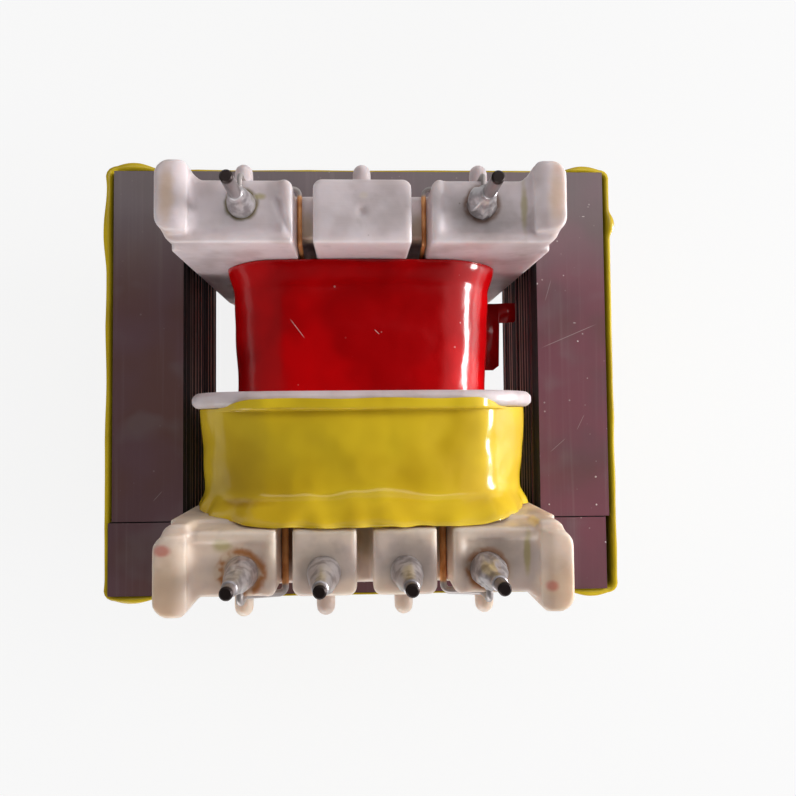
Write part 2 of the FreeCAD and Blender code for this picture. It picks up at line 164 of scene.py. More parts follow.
class Sum(Enum):
    """How two numbers are joined in a pattern."""

    ADD = "ADD"
    TAKE = "SUBTRACT"
    LESS = "LESS_THAN"
    MOST = "MAXIMUM"
    REST = "FRACT"
    WHOLE = "FLOOR"
    SIZE = "ABSOLUTE"


Socket = bpy.types.NodeSocket
Place = tuple[float, float]


class Painter:
    """Draws patterns into one material's node tree, from the part's own millimetres."""

    def __init__(self, tree: bpy.types.NodeTree) -> None:
        """Adds the place and the face direction that every pattern starts from.

        Args:
            tree: the material's node tree.
        """
        self.tree = tree
        self.place = add_node(tree, "TexCoord").outputs["Object"]
        self.x, self.y, self.z = add_node(tree, "SeparateXYZ", {0: self.place}).outputs
        normal = add_node(tree, "NewGeometry").outputs["Normal"]
        self.facing = add_node(tree, "SeparateXYZ", {0: normal}).outputs
        self.ragged_edge = None

    def join(self, way: Sum, one: object, other: object = 0.0) -> Socket:
        """Returns the socket that joins two numbers, each a value or a socket."""
        return add_node(self.tree, "Math", {0: one, 1: other}, operation=way.value).outputs[0]

    def times(self, one: object, other: object) -> Socket:
        """Returns the socket that multiplies two numbers, each a value or a socket."""
        return add_node(self.tree, "Math", {0: one, 1: other}, operation="MULTIPLY").outputs[0]

    def vector(self, way: str, one: Socket, other: Vector, output: str | int = 0) -> Socket:
        """Returns one output of the node that joins a vector socket and a fixed vector."""
        return add_node(self.tree, "VectorMath", {0: one, 1: other}, operation=way).outputs[output]

    def link(self, value: Socket, shader: bpy.types.Node, name: str) -> None:
        """Links a pattern to one of the shader's inputs."""
        self.tree.links.new(value, shader.inputs[name])

    def cloud(self, size: float, seed: float = 0.0, detail: float = 2.0,
              stretch: tuple[float, float, float] = (1, 1, 1)) -> Socket:
        """Draws soft cloudy noise.

        Args:
            size: width of one cloud, in millimetres.
            seed: shifts the noise, so that two clouds differ.
            detail: how many finer layers it has.
            stretch: how many times longer the clouds are along each axis.

        Returns:
            A number about 0.5 on average.
        """
        scale = [1 / longer for longer in stretch]
        place = add_node(self.tree, "Mapping", {0: self.place, "Scale": scale}).outputs[0]
        inputs = {"Vector": place, "W": seed, "Scale": per_mm(size), "Detail": detail}
        return add_node(self.tree, "TexNoise", inputs, noise_dimensions="4D").outputs[0]

    def ramp(self, value: Socket, low: float, high: float) -> Socket:
        """Turns a number into a smooth step, 0 at its low value and 1 at its high one.

        Args:
            value: the number.
            low: where the step is 0, which may be the larger value.
            high: where the step is 1.

        Returns:
            The step, from 0 to 1.
        """
        made = add_node(self.tree, "MapRange", {"Value": value, "From Min": low, "From Max": high},
                        interpolation_type="SMOOTHSTEP")
        return made.outputs[0]

    def blend(self, share: Socket | float, one: Socket | str, other: Socket | str) -> Socket:
        """Mixes two colours, each a hex code or a socket.

        Args:
            share: how much of the second colour there is, from 0 to 1.
            one: the first colour.
            other: the second colour.

        Returns:
            The mixed colour.
        """
        first, second = (linear(c) if isinstance(c, str) else c for c in (one, other))
        return add_node(self.tree, "Mix", {0: share, 6: first, 7: second}, data_type="RGBA").outputs[2]

    def spot(self, centre: Vector, reach: Vector, hollow: float = 0.0, ragged: float = 0.5) -> Socket:
        """Draws a soft ragged spot or ring round a place.

        Args:
            centre: its middle, in millimetres.
            reach: how far it goes along each axis, in millimetres.
            hollow: how much of its reach is clear in the middle, from 0 to 1.
            ragged: how far its edge wanders, as a share of its reach.

        Returns:
            1 inside the spot and 0 outside.
        """
        shares = self.vector("DIVIDE", self.vector("SUBTRACT", self.place, centre * MM), reach * MM)
        length = self.vector("LENGTH", shares, Vector(), "Value")
        if self.ragged_edge is None:
            self.ragged_edge = self.cloud(0.9, seed=13.0)
        ragged *= 1 - 0.5 * hollow
        wander = self.times(self.ragged_edge, ragged)
        edge = self.join(Sum.TAKE, self.join(Sum.ADD, length, wander), ragged / 2)
        if not hollow:
            return self.ramp(edge, 1.0, 0.35)
        ring = self.times(self.ramp(edge, 1.0, 0.8), self.ramp(edge, hollow * 0.85, hollow * 1.15))
        return self.times(ring, self.ramp(self.ragged_edge, 0.3, 0.5))

    def specks(self, size: float, spacing: float, share: float, turn: float = 0.0,
               length: float = 1.0) -> Socket:
        """Scatters small specks or short dashes.

        Args:
            size: width of a speck, in millimetres.
            spacing: distance between the places where one may lie.
            share: how many of those places have one, from 0 to 1.
            turn: how far the dashes are turned about the upright, in radians.
            length: how many times longer than wide they are.

        Returns:
            1 on a speck and 0 elsewhere.
        """
        inputs = {0: self.place, "Rotation": (0, 0, turn), "Scale": (1 / length, 1, 1)}
        place = add_node(self.tree, "Mapping", inputs).outputs[0]
        cells = add_node(self.tree, "TexVoronoi", {"Vector": place, "Scale": per_mm(spacing)})
        grain = self.ramp(cells.outputs["Distance"], size / spacing * 0.5, size / spacing * 0.25)
        chance, strength = add_node(self.tree, "SeparateColor", {0: cells.outputs["Color"]}).outputs[:2]
        return self.times(self.times(grain, strength), self.join(Sum.LESS, chance, share))

    def scratch(self, start: Place, end: Place, width: float) -> Socket:
        """Draws one straight scratch across an upward face.

        Args:
            start: X and Y of one end, in millimetres.
            end: X and Y of the other end.
            width: how wide the scratch is.

        Returns:
            1 on the scratch and 0 elsewhere.
        """
        start, end = Vector((*start, 0)), Vector((*end, 0))
        span = (end - start).length
        along = (end - start) / span
        away = self.vector("SUBTRACT", self.place, start * MM)
        run = self.vector("DOT_PRODUCT", away, along, "Value")
        side = self.vector("DOT_PRODUCT", away, Vector((-along.y, along.x, 0)), "Value")
        mark = self.ramp(self.join(Sum.SIZE, side), width * MM, 0.0)
        span *= MM
        ends = self.times(self.ramp(run, 0.0, span * 0.2), self.ramp(run, span, span * 0.8))
        return self.times(self.times(mark, ends), self.ramp(self.facing[2], 0.5, 0.9))

    def bump(self, shader: bpy.types.Node, *layers: tuple[Socket, float]) -> None:
        """Raises the surface by several patterns.

        Args:
            shader: the shader whose surface is raised.
            *layers: each pattern with the height in millimetres that its full range stands for.
        """
        normal = None
        for height, depth in layers:
            inputs = {"Height": height, "Distance": depth * MM}
            if normal is not None:
                inputs["Normal"] = normal
            normal = add_node(self.tree, "Bump", inputs).outputs[0]
        self.link(normal, shader, "Normal")


@dataclass(frozen=True)
class Finish:
    """One surface of the real part.

    Attributes:
        name: the material's common name and how its surface was made.
        roughness: how dull its reflections are.
    """

    name: str
    roughness: float

    def fixed(self) -> dict[str, object]:
        """Returns the shader inputs that are the same all over the surface."""
        return {}

    def paint(self, painter: Painter, shader: bpy.types.Node) -> None:
        """Draws the surface's patterns into the shader."""

    def material(self) -> bpy.types.Material:
        """Makes the material.

        Returns:
            A new material with this finish.
        """
        made = bpy.data.materials.new(self.name)
        made.use_nodes = True
        tree = made.node_tree
        tree.nodes.clear()
        shader = add_node(tree, "BsdfPrincipled", {"Roughness": self.roughness, **self.fixed()})
        add_node(tree, "OutputMaterial", {0: shader.outputs[0]})
        self.paint(Painter(tree), shader)
        return made


@dataclass(frozen=True)
class LaminationSteel(Finish):
    """Silicon steel sheet, cold rolled, blued in the annealing oven and dipped in thin varnish.

    It looks like dull dark metal, grey to wine brown, with faint streaks along the rolling
    direction, bright hairline scratches, dust caught in the varnish, and dark cut edges. The grey
    towards the yoke at +Y is partly painted reflection of the bright room above it, and the
    near-black of the cut edges is painted shade of the deep window and of the gaps between sheets.
    """

    pair: float = 1.0
    violet: str = "#74575d"
    brown: str = "#72524f"
    wine: str = "#86545e"
    # grey of random patches, and painted reflection over the yoke
    slate_and_reflection: str = "#8f8b8c"
    # painted shade: the near-black of the cut edges, for the shadowed window and the gaps between sheets
    cut_edge_shade: str = "#151010"
    edge_light: str = "#f0cdbf"
    dust: str = "#d9cfcb"
    long_scratch: tuple[Place, Place] = ((14.9, 2.5), (19.9, 4.6))
    scratches: tuple[tuple[Place, Place], ...] = (
        ((16.0, 8.4), (15.4, 6.4)), ((18.6, -3.0), (17.9, -4.4)),
        ((15.6, -6.2), (17.0, -5.0)), ((-16.4, -9.0), (-17.2, -9.9)))

    def fixed(self) -> dict[str, object]:
        """Returns the thin coat of varnish."""
        return {"Coat Weight": 0.15, "Coat Roughness": 0.35}

    def paint(self, painter: Painter, shader: bpy.types.Node) -> None:
        """Draws patches, rolling streaks, cut edges on painted shade, scratches and dust, and a painted
        reflection that greys the yoke.

        Args:
            painter: draws into the material's tree.
            shader: the steel's shader.
        """
        patches = painter.ramp(painter.cloud(7.0, seed=1.0), 0.35, 0.65)
        colour = painter.blend(patches, self.violet, self.brown)
        wine = painter.times(painter.ramp(painter.x, -14 * MM, 22 * MM),
                            painter.ramp(painter.cloud(6.0, seed=12.0), 0.3, 0.6))
        colour = painter.blend(wine, colour, self.wine)
        # Painted reflection: from Y 5 to 17 mm the yoke turns lighter grey for the bright room mirrored in
        # it; the cloud adds grey patches at random.
        patches = painter.times(painter.ramp(painter.cloud(4.5, seed=5.0), 0.52, 0.68), 0.35)
        slate_and_reflection = painter.join(Sum.MOST, patches, painter.ramp(painter.y, 5 * MM, 17 * MM))
        colour = painter.blend(painter.times(slate_and_reflection, 0.6), colour, self.slate_and_reflection)
        streaks = painter.cloud(0.35, seed=3.0, stretch=(1, 40, 1))
        colour = painter.blend(painter.times(painter.ramp(streaks, 0.5, 0.9), 0.07), colour, self.dust)
        face = painter.ramp(painter.join(Sum.SIZE, painter.facing[2]), 0.4, 0.8)
        # Cut edges get painted shade, near-black, under the comb's lighter lines.
        comb = self.comb(painter)
        colour = painter.blend(face, painter.blend(comb, self.cut_edge_shade, self.edge_light), colour)
        marks = painter.scratch(*self.long_scratch, 0.045)
        for start, end in self.scratches:
            marks = painter.join(Sum.MOST, marks, painter.scratch(start, end, 0.03))
        colour = painter.blend(painter.times(marks, 0.4), colour, self.dust)
        dust = painter.join(Sum.MOST, painter.specks(0.2, 0.8, share=0.8),
                            painter.specks(0.1, 0.7, share=0.8, turn=0.7, length=3.0))
        lies = painter.times(painter.ramp(painter.x, -30 * MM, 16 * MM),
                            painter.ramp(painter.cloud(3.2, seed=14.0, detail=0.0), 0.38, 0.52))
        dust = painter.times(painter.times(dust, lies), face)
        painter.link(painter.blend(dust, colour, self.dust), shader, "Base Color")
        painter.link(painter.times(face, 0.75), shader, "Metallic")
        dull = painter.join(Sum.ADD, painter.times(painter.cloud(3.0, seed=8.0), 0.2), self.roughness)
        cut = painter.times(painter.ramp(face, 1.0, 0.0), 0.4)
        painter.link(painter.join(Sum.ADD, dull, cut), shader, "Roughness")
        painter.bump(shader, (streaks, 0.004), (dust, 0.02))

    def comb(self, painter: Painter) -> Socket:
        """Draws the cut edges of the sheets: lighter lines on a near-black ground, which is painted
        shade of the deep window and of the gaps between sheets.

        Single edges are finer than the picture shows, so a line stands for two of them.

        Args:
            painter: draws into the material's tree.

        Returns:
            How light the edge is there, from 0 to 1.
        """
        layer = painter.times(painter.join(Sum.TAKE, painter.z, CORE_BACK * MM), per_mm(self.pair))
        shade = add_node(painter.tree, "TexWhiteNoise", {"W": painter.join(Sum.WHOLE, layer)},
                         noise_dimensions="1D").outputs["Value"]
        rest = painter.join(Sum.REST, layer)
        line = painter.times(painter.ramp(rest, 0.45, 0.6), painter.ramp(rest, 1.0, 0.85))
        deep = painter.ramp(painter.z, (CORE_FACE - 1) * MM, (CORE_FACE - 5) * MM)
        return painter.times(painter.times(line, deep), painter.join(Sum.ADD, shade, 0.15))


class StainAndShade(Enum):
    """What marks the bobbin, dirt and painted shade: a colour, and how strong it is at its heart."""

    FLUX = ("#6f5f1c", 0.85)
    AMBER = ("#ad6826", 0.9)
    HALO = ("#bd9a66", 0.5)
    CREAM = ("#d2b08a", 0.6)
    OLIVE = ("#a89a3c", 0.6)
    VARNISH = ("#7a451c", 0.9)
    DRAB = ("#c0ac8c", 0.7)
    # painted shade, partly grime, on darker block faces
    PAINTED_SHADE = ("#7f726b", 0.45)
    PALE = ("#dccfc6", 0.9)
    BLUSH = ("#c9584c", 0.6)


@dataclass(frozen=True)
class MouldedNylon(Finish):
    """Natural nylon, injection moulded in a lightly polished tool.

    It looks milky and translucent, cooler at the primary's row and creamier at the other, with
    soft highlights, faint sink marks, marks of soldering flux and varnish, and painted shade on
    some block faces.
    """

    milk: str = "#e6dadc"
    cream: str = "#e9d5c3"
    shade: str = "#b8a8a6"
    grime: str = "#7d6e64"
    # marks of dirt, and painted shade on darker block faces
    stains_and_shade: tuple[tuple[StainAndShade, tuple, tuple, float], ...] = ()

    def fixed(self) -> dict[str, object]:
        """Returns the plastic's index and how far light spreads in it."""
        return {"IOR": 1.53, "Subsurface Weight": 0.6, "Subsurface Radius": (1.0, 0.82, 0.7),
                "Subsurface Scale": 1.1 * MM}

    def paint(self, painter: Painter, shader: bpy.types.Node) -> None:
        """Draws the milky ground, the marks of flux and varnish with painted shade on some block faces,
        fine grime and the moulded surface.

        Args:
            painter: draws into the material's tree.
            shader: the nylon's shader.
        """
        colour = painter.blend(painter.ramp(painter.y, -1 * MM, -10 * MM), self.milk, self.cream)
        patches = painter.times(painter.ramp(painter.cloud(2.6, seed=2.0), 0.4, 0.7), 0.55)
        colour = painter.blend(patches, colour, self.shade)
        grime = painter.times(painter.ramp(painter.cloud(1.6, seed=6.0, detail=5.0), 0.58, 0.78), 0.3)
        colour = painter.blend(grime, colour, self.grime)
        # Each entry is a mark of dirt, flux and varnish among them, apart from the painted shade on darker
        # block faces.
        for stain_and_shade, centre, reach, hollow in self.stains_and_shade:
            code, strength = stain_and_shade.value
            spot = painter.spot(Vector(centre), Vector(reach), hollow)
            colour = painter.blend(painter.times(spot, strength), colour, code)
        specks = painter.times(painter.specks(0.16, 1.7, 0.3), 0.55)
        painter.link(painter.blend(specks, colour, self.grime), shader, "Base Color")
        uneven = painter.times(painter.cloud(1.5, seed=11.0), 0.3)
        painter.link(painter.join(Sum.ADD, uneven, self.roughness - 0.15), shader, "Roughness")
        lines = painter.cloud(0.3, seed=10.0, stretch=(12, 1, 1))
        painter.bump(shader, (painter.cloud(1.3, seed=4.0), 0.05), (lines, 0.012),
                     (painter.cloud(0.25, seed=9.0), 0.004))


@dataclass(frozen=True)
class PolyesterTape(Finish):
    """Polyester winding tape, a clear glossy film over coloured adhesive.

    It looks wet and deep in colour, with wavering highlights over the wire beneath, darker
    patches where the film lies close, and pale dust and nicks on top.
    """

    bright: str = "#d2040a"
    deep: str = "#b00207"
    dust: str = "#e9b9b4"
    dust_share: float = 0.15
    wave: float = 0.02
    # painted shade along folds and curled edges: its colour, centre and reach
    crease_shade: tuple[tuple[str, tuple, tuple], ...] = ()
    nicks: tuple[tuple[Place, Place], ...] = ()

    def fixed(self) -> dict[str, object]:
        """Returns the film's index."""
        return {"IOR": 1.5}

    def paint(self, painter: Painter, shader: bpy.types.Node) -> None:
        """Draws patches, painted shade along folds and curled edges, dust, nicks and the film's
        unevenness.

        Args:
            painter: draws into the material's tree.
            shader: the tape's shader.
        """
        patches = painter.ramp(painter.cloud(5.5, seed=1.5), 0.38, 0.62)
        colour = painter.blend(patches, self.bright, self.deep)
        # Painted shade where the film folds or curls.
        for code, centre, reach in self.crease_shade:
            shaded_crease = painter.times(painter.spot(Vector(centre), Vector(reach)), 0.65)
            colour = painter.blend(shaded_crease, colour, code)
        dust = painter.join(Sum.MOST, painter.specks(0.2, 1.4, self.dust_share),
                            painter.specks(0.11, 1.3, self.dust_share, turn=0.9, length=5.0))
        for start, end in self.nicks:
            dust = painter.join(Sum.MOST, dust, painter.scratch(start, end, 0.06))
        colour = painter.blend(painter.times(dust, 0.6), colour, self.dust)
        painter.link(colour, shader, "Base Color")
        painter.bump(shader, (painter.cloud(1.6, seed=7.0, detail=1.0), self.wave * 3),
                     (painter.cloud(0.5, seed=3.0, detail=1.0), self.wave * 0.4), (dust, 0.012))


@dataclass(frozen=True)
class EnamelledCopper(Finish):
    """Copper wire, drawn and coated with clear brown enamel.

    It looks like warm dark metal under a gloss coat in the slots, and grey where it is tinned,
    past the rows' outer sides.
    """

    copper: str = "#ecaa6a"
    burnt: str = "#b87238"
    tinned: str = "#a89f9c"

    def fixed(self) -> dict[str, object]:
        """Returns the metal's share and the enamel coat."""
        return {"Metallic": 0.35, "Coat Weight": 0.4, "Coat Roughness": 0.2}

    def paint(self, painter: Painter, shader: bpy.types.Node) -> None:
        """Draws the burnt patches and the fine draw lines.

        Args:
            painter: draws into the material's tree.
            shader: the copper's shader.
        """
        burnt = painter.ramp(painter.cloud(1.5, seed=2.5), 0.4, 0.7)
        away = painter.join(Sum.SIZE, painter.join(Sum.ADD, painter.y, 0.9 * MM))
        outside = painter.ramp(away, 14.1 * MM, 14.4 * MM)
        high = (CORE_FACE + 9.3) * MM
        tinned = painter.join(Sum.MOST, outside, painter.ramp(painter.z, high - MM, high))
        colour = painter.blend(tinned, painter.blend(burnt, self.copper, self.burnt), self.tinned)
        painter.link(colour, shader, "Base Color")
        painter.bump(shader, (painter.cloud(0.3, seed=1.0, stretch=(1, 6, 1)), 0.01))


@dataclass(frozen=True)
class TinnedWire(Finish):
    """Copper-plated steel wire, hot tinned, cropped at the tip.

    It looks like grey metal with dull streaks, and the cropped end is bare, dark and brown.
    """

    tin: str = "#a09899"
    tarnish: str = "#6f6667"
    cropped: str = "#2b201e"
    tip: float = 0.35

    def fixed(self) -> dict[str, object]:
        """Returns the metal's share, which the dull film lowers."""
        return {"Metallic": 0.6}

    def paint(self, painter: Painter, shader: bpy.types.Node) -> None:
        """Draws the tarnish and the dark cropped end.

        Args:
            painter: draws into the material's tree.
            shader: the wire's shader.
        """
        streaks = painter.ramp(painter.cloud(0.6, seed=1.0, stretch=(1, 1, 5)), 0.35, 0.7)
        colour = painter.blend(streaks, self.tin, self.tarnish)
        high = box_mm("primary_left_pin")[1].z
        bare = painter.ramp(painter.z, (high - self.tip) * MM, (high - self.tip * 0.5) * MM)
        painter.link(painter.blend(bare, colour, self.cropped), shader, "Base Color")
        painter.bump(shader, (streaks, 0.01))


@dataclass(frozen=True)
class TinLeadSolder(Finish):
    """Tin and lead solder, left as it froze after a hand iron.

    It looks bright and rounded with dull frosted patches and small pits.
    """

    bright: str = "#c9c4c6"
    frosted: str = "#989193"

    def fixed(self) -> dict[str, object]:
        """Returns the metal's share, which the frost lowers."""
        return {"Metallic": 0.6}

    def paint(self, painter: Painter, shader: bpy.types.Node) -> None:
        """Draws the frosted patches and the pits.

        Args:
            painter: draws into the material's tree.
            shader: the solder's shader.
        """
        frost = painter.ramp(painter.cloud(0.7, seed=2.0), 0.4, 0.65)
        painter.link(painter.blend(frost, self.bright, self.frosted), shader, "Base Color")
        painter.bump(shader, (painter.cloud(0.5, seed=5.0, detail=2.0), 0.02))


@dataclass(frozen=True)
class TableBoard(Finish):
    """A white lacquered board, sprayed smooth, that the part lies on."""

    def paint(self, painter: Painter, shader: bpy.types.Node) -> None:
        """Gives the board its white; the Studio adds what the camera sees behind the part."""
        shader.inputs["Base Color"].default_value = linear("#e6e6e6")


def lay_skin(name: str, rows: list[list[Vector]], finish: bpy.types.Material, ring: bool = True,
             looped: bool = False) -> bpy.types.Object:
    """Joins rows of points into one smooth surface.

    Args:
        name: the new piece's name.
        rows: rows of as many points each, in millimetres.
        finish: the piece's material.
        ring: whether each row closes on itself.
        looped: whether the last row joins the first.

    Returns:
        The new piece.
    """
    count = len(rows[0])
    turns = count if ring else count - 1
    steps = len(rows) if looped else len(rows) - 1
    faces = []
    for step in range(steps):
        here, there = step * count, (step + 1) % len(rows) * count
        for i in range(turns):
            after = (i + 1) % count
            faces.append((here + i, here + after, there + after, there + i))
    mesh = bpy.data.meshes.new(name)
    mesh.from_pydata([point * MM for row in rows for point in row], [], faces)
    mesh.shade_smooth()
    mesh.materials.append(finish)
    piece = bpy.data.objects.new(name, mesh)
    bpy.context.scene.collection.objects.link(piece)
    return piece


def put_on(piece: bpy.types.Object, replaced: str | None = None) -> bpy.types.Object:
    """Fixes a piece to the part, in place of a CAD node where one is named.

    Args:
        piece: the piece.
        replaced: the CAD node that it stands for.

    Returns:
        The same piece.
    """
    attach(piece, "root")
    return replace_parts(piece, replaced) if replaced else piece


def dress(nodes: list[str], finish: bpy.types.Material) -> None:
    """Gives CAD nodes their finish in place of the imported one."""
    for node in nodes:
        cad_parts[node].data.materials.clear()
        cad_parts[node].data.materials.append(finish)


@dataclass
class Core:
    """The stack of E and I sheets."""

    finish: LaminationSteel = LaminationSteel("Silicon steel sheet, blued and varnished", 0.5)

    def build(self) -> int:
        """Dresses every bundle of sheets.

        Returns:
            The number of bundles dressed.
        """
        bundles = [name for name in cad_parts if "_sheets_" in name]
        dress(bundles, self.finish.material())
        return len(bundles)


@dataclass
class Bobbin:
    """The moulded bobbin, with every edge softened as the mould leaves it.

    Attributes:
        voxel: grid of the softened surface, which sets the radius of its edges.
        most_faces: triangles that it may have.
        passes: rounds of smoothing.
        ear_inner: from the middle to the ears' inner sides.
        ear_slope: how far the rounding of their inner edges reaches outwards.
        groove: both ends of the mark that the tool left beside the left primary pin.
        rings: what marks the foot of a pin, how far it reaches and how much of it is hollow.
        spots: other marks, some of them painted shade, each with its place, counted from the
            blocks' top, and its reach.
    """

    voxel: float = 0.17
    most_faces: int = 180000
    passes: int = 3
    ear_inner: float = 12.05
    ear_slope: float = 1.1
    groove: tuple[Place, Place] = ((-5.9, 12.0), (-5.1, 9.7))
    rings: tuple[tuple[str, StainAndShade, float, float], ...] = (
        ("primary_left", StainAndShade.FLUX, 1.4, 0.65), ("primary_right", StainAndShade.VARNISH, 1.55, 0.65),
        ("secondary_left", StainAndShade.HALO, 2.6, 0.0), ("secondary_left", StainAndShade.AMBER, 1.95, 0.68),
        ("secondary_left", StainAndShade.PALE, 1.4, 0.0), ("secondary_right", StainAndShade.HALO, 2.2, 0.0),
        ("secondary_right", StainAndShade.AMBER, 1.75, 0.68))
    spots: tuple[tuple[StainAndShade, tuple, tuple], ...] = (
        (StainAndShade.CREAM, (-13.3, -14.5, 0.0), (1.6, 3.4, 2.5)),
        (StainAndShade.CREAM, (13.2, -14.6, 0.0), (1.6, 3.0, 2.5)),
        (StainAndShade.CREAM, (-13.3, 12.0, 0.0), (0.8, 3.4, 2.0)),
        (StainAndShade.CREAM, (13.4, 12.2, 0.0), (0.9, 3.4, 2.0)),
        (StainAndShade.BLUSH, (-13.5, -11.9, 0.7), (0.7, 0.5, 0.6)),
        (StainAndShade.BLUSH, (12.6, -14.6, 0.7), (0.6, 0.5, 0.6)),
        (StainAndShade.OLIVE, (11.4, 11.6, 0.0), (0.35, 2.4, 1.5)),
        (StainAndShade.OLIVE, (11.2, -12.6, 0.0), (0.35, 2.0, 1.5)),
        (StainAndShade.OLIVE, (-7.1, 12.3, 0.0), (0.6, 0.35, 1.0)),
        (StainAndShade.OLIVE, (-9.8, -11.8, 0.0), (1.0, 0.6, 1.0)),
        # painted shade, partly grime: darker faces on the right block of the row of two, which its ear
        # shades from the window side, and on the three right blocks of the row of four
        (StainAndShade.PAINTED_SHADE, (8.6, 11.2, 0.0), (3.4, 2.4, 1.6)),
        (StainAndShade.PAINTED_SHADE, (8.8, -12.9, 0.0), (3.2, 2.2, 1.6)),
        (StainAndShade.PAINTED_SHADE, (-3.0, -12.9, 0.0), (2.4, 2.2, 1.6)),
        (StainAndShade.PAINTED_SHADE, (3.0, -12.9, 0.0), (2.4, 2.2, 1.6)),
        (StainAndShade.PALE, (0.1, 12.3, 0.2), (0.5, 0.4, 0.5)),
        (StainAndShade.VARNISH, (-5.5, -12.4, -3.6), (0.8, 2.6, 1.8)),
        (StainAndShade.DRAB, (0.0, -12.0, -3.6), (0.8, 2.2, 1.8)),
        (StainAndShade.DRAB, (5.4, -12.0, -3.6), (0.7, 2.2, 1.8)),
        (StainAndShade.DRAB, (-4.2, 10.4, -3.6), (0.9, 2.4, 2.6)),
        (StainAndShade.DRAB, (4.2, 10.4, -3.6), (0.9, 2.4, 2.6)))

    def stains_and_shade(self) -> tuple:
        """Returns every mark on the bobbin, painted shade among them, with its place and reach in
        millimetres.
        """
        marks = []
        for pin, kind, reach, hollow in self.rings:
            low, high = box_mm(pin + "_pin")
            middle = (low + high) / 2
            marks.append((kind, (middle.x, middle.y, BLOCK_FACE), (reach, reach, 1.2), hollow))
        marks += [(kind, (x, y, BLOCK_FACE + z), reach, 0.0) for kind, (x, y, z), reach in self.spots]
        return tuple(marks)

    def build(self) -> bpy.types.Object:
        """Makes the softened bobbin and puts it in place of the CAD one.

        Returns:
            The new piece.
        """
        finish = MouldedNylon("Nylon, injection moulded", 0.38, stains_and_shade=self.stains_and_shade()).material()
        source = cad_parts["bobbin"]
        piece = bpy.data.objects.new("bobbin_moulding", source.data.copy())
        bpy.context.scene.collection.objects.link(piece)
        grid = piece.modifiers.new("grid", "REMESH")
        grid.mode = "VOXEL"
        grid.voxel_size = self.voxel * MM
        self.settle(piece)
        self.touch(piece.data)
        smooth = piece.modifiers.new("smooth", "SMOOTH")
        smooth.iterations = self.passes
        smooth.factor = 0.5
        thin = piece.modifiers.new("thin", "DECIMATE")
        thin.ratio = min(self.most_faces / (2 * len(piece.data.polygons)), 1.0)
        self.settle(piece)
        piece.data.shade_smooth()
        piece.data.materials.clear()
        piece.data.materials.append(finish)
        return put_on(piece, "bobbin")

    def settle(self, piece: bpy.types.Object) -> None:
        """Turns the piece's modifiers into plain mesh."""
        graph = bpy.context.evaluated_depsgraph_get()
        settled = bpy.data.meshes.new_from_object(piece.evaluated_get(graph))
        piece.modifiers.clear()
        piece.data = settled

    def touch(self, mesh: bpy.types.Mesh) -> None:
        """Rounds the ears' inner edges, cuts the tool's mark beside one pin and ripples the faces.

        Args:
            mesh: the softened bobbin, in metres.
        """
        start, end = Vector(self.groove[0]), Vector(self.groove[1])
        way = (end - start).normalized()
        for point in mesh.vertices:
            x, y, z = point.co / MM
            inner = ease(abs(x), self.ear_inner + self.ear_slope, self.ear_inner - 0.3)
            drop = 0.95 * inner * inner * ease(z, BLOCK_FACE + 0.1, BLOCK_FACE + 1.7)
            place = Vector((x, y)) - start
            away, run = abs(place.cross(way)), place.dot(way)
            if z > BLOCK_FACE - 1.2 and -0.2 < run < (end - start).length + 0.2:
                drop += 0.28 * ease(away, 0.42, 0.0)
            drop += 0.03 * noise.noise(Vector((x, y, z)) / 1.9)
            point.co.z -= drop * MM


